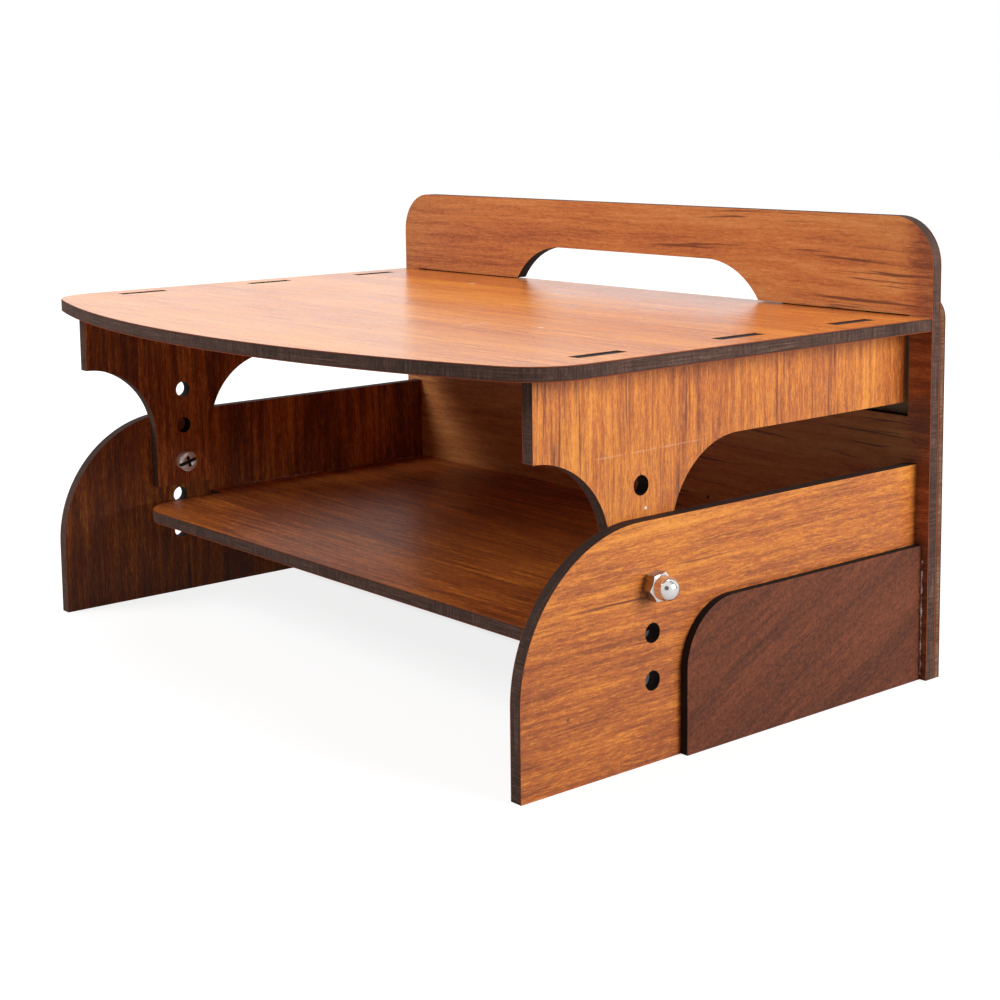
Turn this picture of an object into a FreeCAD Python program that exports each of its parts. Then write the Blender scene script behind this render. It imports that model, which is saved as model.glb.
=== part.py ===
import FreeCAD
import Part
import Sketcher
import math
import os

# Height-adjustable monitor stand of laser-cut laminated board.
# Millimetres; +X is the stand's right, +Y its back, +Z up; the origin is on the
# desk, midway between the two sides and between the front edge and the rear face.

# Driving dimensions, kept in the sheet under these names
DRIVING = {
    # whole stand
    "overall_width": 355.0,
    "overall_depth": 253.5,
    "overall_height": 194.0,
    "board": 5.5,
    "thin_board": 3.4,
    # clearances
    "joint_gap": 0.1,
    "slide_gap": 1.0,
    "shoulder_gap": 0.4,
    "leg_gap": 0.3,
    "tongue_gap": 0.7,
    "window_gap": 0.5,
    "nose_gap": 5.7,
    "stem_gap": 1.8,
    "tab_recess": 0.4,
    # how far the tabletop's front stands out beyond the other pieces
    "side_overhang": 26.9,
    "leg_overhang": 38.8,
    "shelf_overhang": 60.4,
    "hole_overhang": 90.8,
    "outer_overhang": 105.6,
    # side panels
    "side_inset": 6.5,
    "side_height": 91.5,
    "side_round": 58.0,
    # bolt holes shared by the side panels and the legs
    "hole_bore": 7.6,
    "nick_width": 0.9,
    "nick_height": 0.8,
    "hole_pitch": 18.0,
    "upper_hole_height": 67.3,
    # tabletop
    "front_bow": 34.0,
    "table_round": 27.0,
    "tongue_inset": 34.0,
    # legs
    "rail_height": 30.4,
    "stem_width": 31.0,
    "stem_foot": 11.5,
    "leg_round": 36.0,
    "tab_length": 24.0,
    "front_tab_place": 33.4,
    "middle_tab_place": 106.2,
    "rear_tab_place": 32.4,
    # shelf
    "shelf_height": 49.3,
    "shelf_round": 20.0,
    "shelf_tab_length": 25.0,
    "shelf_rear_tab_length": 40.0,
    "shelf_front_tab_setback": 108.0,
    "shelf_back_tab_setback": 30.0,
    "shelf_rear_tab_spread": 160.0,
    # back panel
    "back_round": 20.0,
    "handle_rise": 17.5,
    "handle_bar": 23.6,
    "handle_straight": 102.0,
    "handle_round": 38.0,
    "side_tab_length": 20.0,
    "lower_side_tab_height": 24.0,
    "upper_side_tab_drop": 21.5,
    # rear cover
    "cover_rise": 9.1,
    "cover_round": 10.0,
    "relief_width": 184.0,
    "relief_drop": 2.9,
    "relief_round": 4.0,
    # outer panels
    "outer_rise": 8.2,
    "outer_round": 25.0,
    # clamp screws and acorn nuts, M6
    "screw_size": 6.0,
    "thread_reach": 8.7,
    "head_size": 10.0,
    "head_height": 3.9,
    "head_edge": 0.6,
    "slot_width": 1.6,
    "slot_depth": 1.8,
    "cross_size": 5.4,
    "nut_flats": 10.0,
    "nut_height": 12.0,
    "nut_hex_height": 5.0,
    "dome_size": 9.2,
    "thread_gap": 0.05,
    "bore_spare": 0.5,
}

TAN_CHAMFER = math.tan(math.radians(30))
COS_HEX = math.cos(math.radians(30))

# How far each tightened screw's slot and nut's corner stand from upright, in degrees
SCREW_TURN = 68
NUT_TURN = 18


class Size:
    """A length in millimetres, with the sheet formula that drives it."""

    def __init__(self, value, formula=None):
        self.value = float(value)
        self.formula = formula if formula is not None else repr(float(value))

    def joined(self, other, sign, value):
        return Size(value, "(%s %s %s)" % (self.formula, sign, other.formula))

    def __add__(self, other):
        other = as_size(other)
        return self.joined(other, "+", self.value + other.value)

    def __sub__(self, other):
        other = as_size(other)
        return self.joined(other, "-", self.value - other.value)

    def __mul__(self, other):
        other = as_size(other)
        return self.joined(other, "*", self.value * other.value)

    def __truediv__(self, other):
        other = as_size(other)
        return self.joined(other, "/", self.value / other.value)

    def __radd__(self, other):
        return as_size(other) + self

    def __rsub__(self, other):
        return as_size(other) - self

    def __rmul__(self, other):
        return as_size(other) * self

    def __neg__(self):
        return Size(-self.value, "(0 - %s)" % self.formula)


def as_size(value):
    return value if isinstance(value, Size) else Size(value)


def make_sheet(doc):
    """Writes the driving dimensions and returns them as sizes, by name."""
    sheet = doc.addObject("Spreadsheet::Sheet", "Sizes")
    sizes = {}
    for row, (name, value) in enumerate(DRIVING.items(), start=1):
        sheet.set("A%d" % row, name)
        sheet.set("B%d" % row, "%g" % value)
        sheet.setAlias("B%d" % row, name)
        sizes[name] = Size(value, "Sizes.%s" % name)
    return sizes


doc = FreeCAD.newDocument("monitor_stand")
SHEET = make_sheet(doc)
doc.recompute()


def size(name):
    return SHEET[name]


# Planes and levels shared by several pieces
board = size("board")
thin = size("thin_board")
gap = size("joint_gap")
back_front = size("overall_depth") / 2 - thin - board
cover_front = back_front + board
table_front = -size("overall_depth") / 2
outer_half = size("overall_width") / 2 - size("side_inset")
inner_half = outer_half - board
leg_outer = inner_half - size("leg_gap")
leg_inner = leg_outer - board
hole_place = table_front + size("hole_overhang")
handle_crown = size("overall_height") - size("handle_bar")
table_top = handle_crown - size("handle_rise")
table_under = table_top - board
rail_under = table_under - size("rail_height")
height_travel = 2 * size("hole_pitch")
shelf_under = size("shelf_height") - board
leg_front = table_front + size("leg_overhang")
leg_rear = back_front - size("slide_gap")
tab_places = (
    leg_front + size("front_tab_place"),
    leg_front + size("middle_tab_place"),
    leg_rear - size("rear_tab_place"),
)
shelf_side_tabs = (
    back_front - size("shelf_front_tab_setback"),
    back_front - size("shelf_back_tab_setback"),
)
side_tab_heights = (
    size("lower_side_tab_height"),
    size("side_height") - size("upper_side_tab_drop"),
)
shelf_rear_tabs = (-size("shelf_rear_tab_spread") / 2, size("shelf_rear_tab_spread") / 2)


def new_body(name, x=0, y=0, z=0):
    """Starts a piece whose own origin lies at x, y, z of the stand."""
    body = doc.addObject("PartDesign::Body", name)
    body.Label = name
    for axis, place in (("x", x), ("y", y), ("z", z)):
        body.setExpression("Placement.Base." + axis, as_size(place).formula)
    return body


def new_sketch(body, plane, name):
    """Puts an empty sketch on one of the body's own origin planes."""
    sketch = body.newObject("Sketcher::SketchObject", name)
    origin = [f for f in body.Origin.OriginFeatures if f.Role == plane][0]
    sketch.AttachmentSupport = [(origin, "")]
    sketch.MapMode = "FlatFace"
    return sketch


def drive(sketch, kind, refs, value):
    """Adds one dimension to a sketch and binds it to its formula."""
    value = as_size(value)
    index = sketch.addConstraint(Sketcher.Constraint(kind, *refs, value.value))
    sketch.setExpression("Constraints[%d]" % index, value.formula)


def pin_vertex(sketch, edge, end, x, y):
    drive(sketch, "DistanceX", (-1, 1, edge, end), x)
    drive(sketch, "DistanceY", (-1, 1, edge, end), y)


def arc_middle(start, end, radius, turn):
    """The middle point of the short arc from start to end; turn is 1 to the left."""
    half = (end - start) * 0.5
    rise = math.sqrt(max(radius**2 - half.Length**2, 0.0))
    side = FreeCAD.Vector(-half.y, half.x, 0).normalize() * turn
    centre = start + half + side * rise
    return centre + (start + half - centre + side * -1e-9).normalize() * radius


def draw_outline(sketch, corners):
    """Draws a closed outline through corners (x, y) or (x, y, radius, turn).

    The last two values make the edge that leaves the corner an arc.
    """
    points = [FreeCAD.Vector(as_size(c[0]).value, as_size(c[1]).value, 0) for c in corners]
    ends = []
    for index, corner in enumerate(corners):
        start = points[index]
        end = points[(index + 1) % len(points)]
        if len(corner) == 2:
            edge = sketch.addGeometry(Part.LineSegment(start, end))
            ends.append((edge, 1, 2))
            continue
        radius, turn = as_size(corner[2]), corner[3]
        middle = arc_middle(start, end, radius.value, turn)
        edge = sketch.addGeometry(Part.Arc(start, middle, end))
        ends.append((edge, 1, 2) if turn > 0 else (edge, 2, 1))
        drive(sketch, "Radius", (edge,), radius)
    for index, (edge, first, last) in enumerate(ends):
        after, after_first, _ = ends[(index + 1) % len(ends)]
        sketch.addConstraint(Sketcher.Constraint("Coincident", edge, last, after, after_first))
        pin_vertex(sketch, edge, first, corners[index][0], corners[index][1])


def draw_box(sketch, x0, x1, y0, y1):
    draw_outline(sketch, [(x0, y0), (x1, y0), (x1, y1), (x0, y1)])


def draw_circle(sketch, x, y, diameter):
    centre = FreeCAD.Vector(as_size(x).value, as_size(y).value, 0)
    radius = as_size(diameter) / 2
    circle = sketch.addGeometry(Part.Circle(centre, FreeCAD.Vector(0, 0, 1), radius.value))
    pin_vertex(sketch, circle, 3, x, y)
    drive(sketch, "Radius", (circle,), radius)


def pad(body, sketch, length, reverse=False):
    feature = body.newObject("PartDesign::Pad", sketch.Name + "_pad")
    feature.Profile = sketch
    feature.setExpression("Length", as_size(length).formula)
    feature.Reversed = reverse
    doc.recompute()
    return feature


def pocket(body, sketch, reverse=False, depth=None):
    """Cuts a sketch through the whole body, or to a depth, and tests that it cut."""
    before = body.Shape.Volume
    feature = body.newObject("PartDesign::Pocket", sketch.Name + "_cut")
    feature.Profile = sketch
    feature.Reversed = reverse
    if depth is None:
        feature.Type = "ThroughAll"
    else:
        feature.setExpression("Length", as_size(depth).formula)
    doc.recompute()
    if body.Shape.Volume >= before:
        raise RuntimeError("%s cut nothing" % feature.Name)
    return feature


def revolve(body, sketch, kind="PartDesign::Revolution"):
    feature = body.newObject(kind, sketch.Name + "_turned")
    feature.Profile = sketch
    feature.ReferenceAxis = (sketch, ["H_Axis"])
    feature.Angle = 360
    doc.recompute()
    return feature


def row_of(body, features, sketch, axis, length, count):
    """Repeats features along one axis of a sketch."""
    row = body.newObject("PartDesign::LinearPattern", features[0].Name + "_row")
    row.Originals = features
    row.Direction = (sketch, [axis])
    row.setExpression("Length", as_size(length).formula)
    row.Occurrences = count
    body.Tip = row
    doc.recompute()
    return row


def round_edges(body, radius, wanted):
    """Rounds the straight edges of the body's tip that pass the test."""
    tip = body.Tip
    names = []
    for index, edge in enumerate(tip.Shape.Edges, start=1):
        if isinstance(edge.Curve, Part.Line) and wanted(edge):
            names.append("Edge%d" % index)
    if not names:
        raise RuntimeError("%s has no edge to round" % body.Label)
    feature = body.newObject("PartDesign::Fillet", body.Name + "_round%d" % len(body.Group))
    feature.Base = (tip, names)
    feature.setExpression("Radius", as_size(radius).formula)
    doc.recompute()
    return feature


def along(edge, axis):
    """True where the edge runs along the local axis "x", "y" or "z"."""
    direction = edge.Curve.Direction
    return abs(getattr(direction, axis)) > 0.999


def tabletop():
    """Bow-fronted board with a rear tongue and six slots for the legs' tabs."""
    body = new_body("tabletop", z=table_under)
    half = size("overall_width") / 2
    bow = size("front_bow")
    shoulder = back_front - size("shoulder_gap")
    tongue_end = cover_front - size("tongue_gap")
    tongue = half - size("tongue_inset")
    bow_radius = (half * half + bow * bow) / (2 * bow)
    sketch = new_sketch(body, "XY_Plane", "table_outline")
    draw_outline(sketch, [
        (-half, table_front + bow, bow_radius, 1),
        (half, table_front + bow),
        (half, shoulder),
        (tongue, shoulder),
        (tongue, tongue_end),
        (-tongue, tongue_end),
        (-tongue, shoulder),
        (-half, shoulder),
    ])
    pad(body, sketch, board)
    limit = (table_front + bow).value + 1.0
    round_edges(body, size("table_round"), lambda e: along(e, "z") and e.CenterOfMass.y < limit)
    slots = new_sketch(body, "XY_Plane", "leg_slots")
    reach = size("tab_length") / 2 + gap
    for side in (-1, 1):
        faces = sorted((side * (leg_inner - gap), side * (leg_outer + gap)), key=lambda s: s.value)
        for place in tab_places:
            draw_box(slots, faces[0], faces[1], place - reach, place + reach)
    pocket(body, slots, reverse=True)
    return body


def leg(name, side):
    """T-shaped leg: a rail with three tabs on top, and a stem with three bolt holes."""
    body = new_body(name, x=leg_inner if side > 0 else -leg_outer)
    stem = size("stem_width") / 2
    stem_front = hole_place - stem
    stem_rear = hole_place + stem
    arch = size("leg_round")
    foot = size("upper_hole_height") - size("stem_foot")
    shoulder = rail_under - arch
    tab_top = table_top - size("tab_recess")
    tab = size("tab_length") / 2
    sketch = new_sketch(body, "YZ_Plane", name + "_outline")
    outline = [
        (stem_front, foot),
        (stem_rear, foot),
        (stem_rear, shoulder, arch, -1),
        (stem_rear + arch, rail_under),
        (leg_rear, rail_under),
        (leg_rear, table_under),
    ]
    for place in reversed(tab_places):
        outline += [
            (place + tab, table_under),
            (place + tab, tab_top),
            (place - tab, tab_top),
            (place - tab, table_under),
        ]
    front_rise = stem_front - leg_front
    outline += [
        (leg_front, table_under),
        (leg_front, shoulder + front_rise, front_rise, -1),
        (stem_front, shoulder),
    ]
    draw_outline(sketch, outline)
    pad(body, sketch, board)
    add_bolt_holes(body, name, size("upper_hole_height"), "up")
    return body


def add_bolt_holes(body, name, first_height, way):
    """Three bolt holes, one pitch apart, up or down from the first.

    Each has the small nick at its top where the laser starts its cut.
    """
    sketch = new_sketch(body, "YZ_Plane", name + "_hole")
    draw_circle(sketch, hole_place, first_height, size("hole_bore"))
    hole = pocket(body, sketch, reverse=True)
    nick_sketch = new_sketch(body, "YZ_Plane", name + "_nick")
    nick = size("nick_width") / 2
    radius = size("hole_bore") / 2
    root = first_height + radius - size("nick_height")
    draw_outline(nick_sketch, [
        (hole_place - nick, root),
        (hole_place + nick, root),
        (hole_place, first_height + radius + size("nick_height")),
    ])
    nick_cut = pocket(body, nick_sketch, reverse=True)
    row = row_of(body, [hole, nick_cut], sketch, "V_Axis", 2 * size("hole_pitch"), 3)
    row.Reversed = way == "down"
    doc.recompute()


def side_panel(name, side):
    """Base side with a quarter-round front, bolt holes, shelf slots and rear tabs."""
    body = new_body(name, x=inner_half if side > 0 else -outer_half)
    front = table_front + size("side_overhang")
    top = size("side_height")
    curve = size("side_round")
    tab = size("side_tab_length") / 2
    sketch = new_sketch(body, "YZ_Plane", name + "_outline")
    outline = [(front, 0), (back_front, 0)]
    for height in side_tab_heights:
        outline += [
            (back_front, height - tab),
            (cover_front, height - tab),
            (cover_front, height + tab),
            (back_front, height + tab),
        ]
    outline += [
        (back_front, top),
        (front + curve, top, curve, 1),
        (front, top - curve),
    ]
    draw_outline(sketch, outline)
    pad(body, sketch, board)
    slots = new_sketch(body, "YZ_Plane", name + "_shelf_slots")
    reach = size("shelf_tab_length") / 2 + gap
    for place in shelf_side_tabs:
        draw_box(slots, place - reach, place + reach, shelf_under - gap, size("shelf_height") + gap)
    pocket(body, slots, reverse=True)
    add_bolt_holes(body, name, size("upper_hole_height"), "down")
    return body


def shelf():
    """Lower board, narrowed at the front so that the legs pass, tabbed on three sides."""
    body = new_body("shelf", z=shelf_under)
    front = table_front + size("shelf_overhang")
    nose = leg_inner - size("nose_gap")
    step = hole_place + size("stem_width") / 2 + size("stem_gap")
    tab = size("shelf_tab_length") / 2
    rear_tab = size("shelf_rear_tab_length") / 2
    right = [(nose, front), (nose, step), (inner_half, step)]
    for place in shelf_side_tabs:
        right += [
            (inner_half, place - tab),
            (outer_half, place - tab),
            (outer_half, place + tab),
            (inner_half, place + tab),
        ]
    right.append((inner_half, back_front))
    rear = []
    for place in reversed(shelf_rear_tabs):
        rear += [
            (place + rear_tab, back_front),
            (place + rear_tab, cover_front),
            (place - rear_tab, cover_front),
            (place - rear_tab, back_front),
        ]
    left = [(-x, y) for x, y in reversed(right)]
    sketch = new_sketch(body, "XY_Plane", "shelf_outline")
    draw_outline(sketch, right + rear + left)
    pad(body, sketch, board)
    limit = front.value + 1.0
    round_edges(body, size("shelf_round"), lambda e: along(e, "z") and e.CenterOfMass.y < limit)
    return body


def back_panel():
    """Upright back with a carrying handle, the tongue's window and slots for the base."""
    body = new_body("back_panel", y=back_front)
    half = size("overall_width") / 2
    top = size("overall_height")
    sketch = new_sketch(body, "XZ_Plane", "back_outline")
    draw_box(sketch, -half, half, 0, top)
    pad(body, sketch, board, reverse=True)
    limit = top.value - 1.0
    round_edges(body, size("back_round"), lambda e: along(e, "y") and e.CenterOfMass.z > limit)
    window = inner_half + size("window_gap")
    window_floor = table_under - height_travel - size("window_gap")
    opening = new_sketch(body, "XZ_Plane", "window")
    draw_box(opening, -window, window, window_floor, table_top + size("window_gap"))
    pocket(body, opening)
    straight = size("handle_straight") / 2
    curve = size("handle_round")
    spring = handle_crown - curve
    handle = new_sketch(body, "XZ_Plane", "handle")
    draw_outline(handle, [
        (-straight - curve, spring),
        (straight + curve, spring, curve, 1),
        (straight, handle_crown),
        (-straight, handle_crown, curve, 1),
    ])
    pocket(body, handle)
    slots = new_sketch(body, "XZ_Plane", "base_slots")
    reach = size("side_tab_length") / 2 + gap
    for side in (-1, 1):
        faces = sorted((side * (inner_half - gap), side * (outer_half + gap)), key=lambda s: s.value)
        for height in side_tab_heights:
            draw_box(slots, faces[0], faces[1], height - reach, height + reach)
    reach = size("shelf_rear_tab_length") / 2 + gap
    for place in shelf_rear_tabs:
        draw_box(slots, place - reach, place + reach, shelf_under - gap, size("shelf_height") + gap)
    pocket(body, slots)
    return body


def rear_cover():
    """Thin board behind the back panel, dipped under the handle."""
    body = new_body("rear_cover", y=cover_front)
    half = size("overall_width") / 2
    top = table_top + size("cover_rise")
    relief = size("relief_width") / 2
    floor = table_top - size("relief_drop")
    sketch = new_sketch(body, "XZ_Plane", "cover_outline")
    draw_outline(sketch, [
        (-half, 0),
        (half, 0),
        (half, top),
        (relief, top),
        (relief, floor),
        (-relief, floor),
        (-relief, top),
        (-half, top),
    ])
    pad(body, sketch, thin, reverse=True)
    high = top.value - 1.0
    edge_of = lambda e: along(e, "y") and e.CenterOfMass.z > high
    round_edges(body, size("cover_round"), lambda e: edge_of(e) and abs(e.CenterOfMass.x) > half.value - 1)
    near_relief = lambda e: abs(e.CenterOfMass.x) < relief.value + 1 and e.CenterOfMass.z > floor.value - 1
    round_edges(body, size("relief_round"), lambda e: along(e, "y") and near_relief(e))
    return body


def outer_panel(name, side):
    """Thin facing board that hides the shelf's tabs in the side panel."""
    body = new_body(name, x=outer_half if side > 0 else -outer_half - thin)
    front = table_front + size("outer_overhang")
    top = size("shelf_height") + size("outer_rise")
    curve = size("outer_round")
    sketch = new_sketch(body, "YZ_Plane", name + "_outline")
    draw_outline(sketch, [
        (front, 0),
        (back_front, 0),
        (back_front, top),
        (front + curve, top, curve, 1),
        (front, top - curve),
    ])
    pad(body, sketch, thin)
    return body


def face_outwards(body, side, turn):
    """Points a piece's own +X out of the given side, turned on that axis as it was tightened."""
    outward = FreeCAD.Rotation(FreeCAD.Vector(0, 0, 1), 180 if side < 0 else 0)
    tightened = FreeCAD.Rotation(FreeCAD.Vector(1, 0, 0), turn)
    body.Placement.Rotation = outward * tightened


def clamp_screw(name, side):
    """Cheese-head machine screw with a combined slot and cross, head inside the leg."""
    body = new_body(name, x=side * leg_inner, y=hole_place, z=size("upper_hole_height"))
    face_outwards(body, side, SCREW_TURN)
    head = size("head_size") / 2
    edge = size("head_edge")
    shank = size("screw_size") / 2
    head_face = -size("head_height")
    length = outer_half - leg_inner + size("thread_reach")
    sketch = new_sketch(body, "XY_Plane", name + "_profile")
    draw_outline(sketch, [
        (head_face, 0),
        (length, 0),
        (length, shank - edge),
        (length - edge, shank),
        (0, shank),
        (0, head),
        (head_face + edge, head),
        (head_face, head - edge),
    ])
    revolve(body, sketch)
    drive_sketch = new_sketch(body, "XY_Plane", name + "_slot")
    slot = size("slot_width") / 2
    floor = head_face + size("slot_depth")
    draw_box(drive_sketch, head_face - 1, floor, -head - 1, head + 1)
    cut = body.newObject("PartDesign::Pocket", name + "_slot_cut")
    cut.Profile = drive_sketch
    cut.setExpression("Length", (2 * slot).formula)
    cut.Midplane = True
    doc.recompute()
    cross_sketch = new_sketch(body, "XZ_Plane", name + "_cross")
    cross = size("cross_size") / 2
    draw_box(cross_sketch, head_face - 1, floor, -cross, cross)
    cross_cut = body.newObject("PartDesign::Pocket", name + "_cross_cut")
    cross_cut.Profile = cross_sketch
    cross_cut.setExpression("Length", (2 * slot).formula)
    cross_cut.Midplane = True
    doc.recompute()
    return body


def acorn_nut(name, side):
    """Domed cap nut on the outer end of the clamp screw."""
    body = new_body(name, x=side * outer_half, y=hole_place, z=size("upper_hole_height"))
    face_outwards(body, side, NUT_TURN)
    flats = size("nut_flats") / 2
    corner = flats / COS_HEX
    hexagon = new_sketch(body, "YZ_Plane", name + "_hexagon")
    half_side = corner / 2
    draw_outline(hexagon, [
        (-flats, -half_side),
        (0, -corner),
        (flats, -half_side),
        (flats, half_side),
        (0, corner),
        (-flats, half_side),
    ])
    hex_height = size("nut_hex_height")
    pad(body, hexagon, hex_height)
    drop = (corner - flats) * TAN_CHAMFER
    bevel = new_sketch(body, "XY_Plane", name + "_bevel")
    draw_outline(bevel, [
        (hex_height - drop, corner),
        (hex_height, flats),
        (hex_height + 1, flats),
        (hex_height + 1, corner),
    ])
    revolve(body, bevel, "PartDesign::Groove")
    dome = size("dome_size") / 2
    crown = size("nut_height")
    profile = new_sketch(body, "XY_Plane", name + "_dome")
    draw_outline(profile, [
        (hex_height - 1, 0),
        (crown, 0, dome, 1),
        (crown - dome, dome),
        (hex_height - 1, dome),
    ])
    revolve(body, profile)
    bore = new_sketch(body, "YZ_Plane", name + "_bore")
    draw_circle(bore, 0, 0, size("screw_size") + 2 * size("thread_gap"))
    pocket(body, bore, reverse=True, depth=size("thread_reach") + size("bore_spare"))
    return body


def check_and_export(pieces):
    """Stops on any failed feature or bad solid, then writes one file per piece."""
    doc.recompute()
    for item in doc.Objects:
        if "Invalid" in item.State or "Error" in item.State:
            raise RuntimeError("%s failed: %s" % (item.Name, item.State))
    os.makedirs("parts", exist_ok=True)
    for piece in pieces:
        shape = piece.Shape
        if shape.isNull() or not shape.isValid() or len(shape.Solids) != 1:
            raise RuntimeError("%s is not one valid solid" % piece.Label)
        print("%-20s %9.1f mm3  x %7.2f..%7.2f  y %7.2f..%7.2f  z %7.2f..%7.2f" % (
            piece.Label, shape.Volume, shape.BoundBox.XMin, shape.BoundBox.XMax,
            shape.BoundBox.YMin, shape.BoundBox.YMax, shape.BoundBox.ZMin, shape.BoundBox.ZMax))
        shape.exportStep("parts/%s.step" % piece.Label)


pieces = [tabletop(), shelf(), back_panel(), rear_cover()]
for word, side in (("left", -1), ("right", 1)):
    pieces.append(leg(word + "_leg", side))
    pieces.append(side_panel(word + "_side_panel", side))
    pieces.append(outer_panel(word + "_outer_panel", side))
    pieces.append(clamp_screw(word + "_clamp_screw", side))
    pieces.append(acorn_nut(word + "_acorn_nut", side))
check_and_export(pieces)
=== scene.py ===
import math
from collections import namedtuple

import bmesh
import bpy
from mathutils import Matrix, Vector, noise


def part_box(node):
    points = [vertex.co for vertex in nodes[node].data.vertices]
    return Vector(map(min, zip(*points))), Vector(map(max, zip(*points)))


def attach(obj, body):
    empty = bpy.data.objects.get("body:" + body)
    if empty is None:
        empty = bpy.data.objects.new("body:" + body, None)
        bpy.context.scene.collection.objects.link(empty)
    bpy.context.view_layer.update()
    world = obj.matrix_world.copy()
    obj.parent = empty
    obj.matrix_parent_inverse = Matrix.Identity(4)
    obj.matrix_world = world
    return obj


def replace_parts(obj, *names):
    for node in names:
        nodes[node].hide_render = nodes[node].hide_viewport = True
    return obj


# Height-adjustable monitor stand of laser-cut laminated board, in studio light.
# Metres; +X is the stand's right, +Y its back, +Z up. Materials measure in millimetres of the same frame.

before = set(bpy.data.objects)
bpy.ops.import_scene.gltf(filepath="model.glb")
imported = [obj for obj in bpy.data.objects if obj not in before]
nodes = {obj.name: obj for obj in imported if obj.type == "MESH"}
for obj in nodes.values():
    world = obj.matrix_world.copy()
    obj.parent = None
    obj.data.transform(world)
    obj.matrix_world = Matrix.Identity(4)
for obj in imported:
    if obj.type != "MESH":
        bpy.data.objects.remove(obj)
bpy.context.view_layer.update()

X, Y, Z = 0, 1, 2
MM = 0.001
WHITE = (1.0, 1.0, 1.0, 1.0)


# Node graph helpers

class Graph:
    """Builds the node tree of a material or a world; sockets are passed from call to call."""

    def __init__(self, owner, output):
        owner.use_nodes = True
        self.owner = owner
        self.tree = owner.node_tree
        self.tree.nodes.clear()
        self.output = self.node(output)

    def node(self, kind, **settings):
        """A new node with some of its settings."""
        made = self.tree.nodes.new("ShaderNode" + kind)
        for name, value in settings.items():
            setattr(made, name, value)
        return made

    def feed(self, socket, value):
        """Links a socket to another, or sets it to a plain value."""
        if isinstance(value, bpy.types.NodeSocket):
            self.tree.links.new(value, socket)
        else:
            socket.default_value = value

    def place(self):
        """The point on the piece, in millimetres of the stand."""
        coordinates = self.node("TexCoord")
        return self.vector("SCALE", coordinates.outputs["Object"], scale=1.0 / MM)

    def axes(self, vector):
        """The X, Y and Z parts of a vector."""
        made = self.node("SeparateXYZ")
        self.feed(made.inputs[0], vector)
        return made.outputs

    def vector(self, operation, first, second=None, scale=None):
        """A vector operation; three of them give a plain number."""
        made = self.node("VectorMath", operation=operation)
        self.feed(made.inputs[0], first)
        if second is not None:
            self.feed(made.inputs[1], second)
        if scale is not None:
            self.feed(made.inputs["Scale"], scale)
        return made.outputs["Value" if operation in ("DOT_PRODUCT", "LENGTH", "DISTANCE") else "Vector"]

    def math(self, operation, first, second=0.0, third=0.0, clamp=False):
        """A calculation with up to three numbers."""
        made = self.node("Math", operation=operation, use_clamp=clamp)
        for socket, value in zip(made.inputs, (first, second, third)):
            self.feed(socket, value)
        return made.outputs[0]

    def swing(self, layer, weight, total=0.0):
        """Adds a noise layer to a total, moved so that it swings about zero."""
        return self.math("MULTIPLY_ADD", self.math("SUBTRACT", layer, 0.5), weight, total)

    def noise(self, vector, scale=1.0, detail=2.0, roughness=0.5):
        """Fractal noise from 0 to 1."""
        made = self.node("TexNoise")
        self.feed(made.inputs["Vector"], vector)
        self.feed(made.inputs["Scale"], scale)
        self.feed(made.inputs["Detail"], detail)
        self.feed(made.inputs["Roughness"], roughness)
        return made.outputs["Fac"]

    def band(self, value, low, high, out_low=0.0, out_high=1.0):
        """Maps low..high to out_low..out_high, smoothly and clamped."""
        made = self.node("MapRange", interpolation_type="SMOOTHSTEP")
        for name, number in (("Value", value), ("From Min", low), ("From Max", high),
                             ("To Min", out_low), ("To Max", out_high)):
            self.feed(made.inputs[name], number)
        return made.outputs["Result"]

    def choose(self, switch, off, on):
        """One value where the switch is 0 and another where it is 1."""
        made = self.node("MapRange")
        for name, value in (("Value", switch), ("To Min", off), ("To Max", on)):
            self.feed(made.inputs[name], value)
        return made.outputs["Result"]

    def mix(self, factor, first, second):
        """A blend of two colours."""
        made = self.node("Mix", data_type="RGBA")
        self.feed(made.inputs["Factor"], factor)
        self.feed(made.inputs[6], first)
        self.feed(made.inputs[7], second)
        return made.outputs[2]

    def ramp(self, factor, stops):
        """A colour ramp through (place, colour) stops."""
        made = self.node("ValToRGB")
        elements = made.color_ramp.elements
        while len(elements) < len(stops):
            elements.new(1.0)
        for element, (place, colour) in zip(elements, stops):
            element.position = place
            element.color = colour
        self.feed(made.inputs["Fac"], factor)
        return made.outputs["Color"]

    def surface(self, colour, roughness, height, depth, **settings):
        """Finishes a material with a principled surface and a bump of a given depth."""
        made = self.node("BsdfPrincipled")
        self.feed(made.inputs["Base Color"], colour)
        self.feed(made.inputs["Roughness"], roughness)
        for name, value in settings.items():
            self.feed(made.inputs[name.replace("_", " ")], value)
        bump = self.node("Bump")
        bump.inputs["Strength"].default_value = 1.0
        bump.inputs["Distance"].default_value = depth
        self.feed(bump.inputs["Height"], height)
        self.feed(made.inputs["Normal"], bump.outputs["Normal"])
        self.feed(self.output.inputs["Surface"], made.outputs["BSDF"])
        return self.owner


def new_shader(name):
    """The graph of a new material."""
    return Graph(bpy.data.materials.new(name), "OutputMaterial")


def srgb(red, green, blue):
    """A colour from its 0 to 255 screen values."""
    def linear(value):
        value /= 255.0
        return value / 12.92 if value <= 0.04045 else ((value + 0.055) / 1.055) ** 2.4
    return (linear(red), linear(green), linear(blue), 1.0)


# Laminated faces

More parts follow.
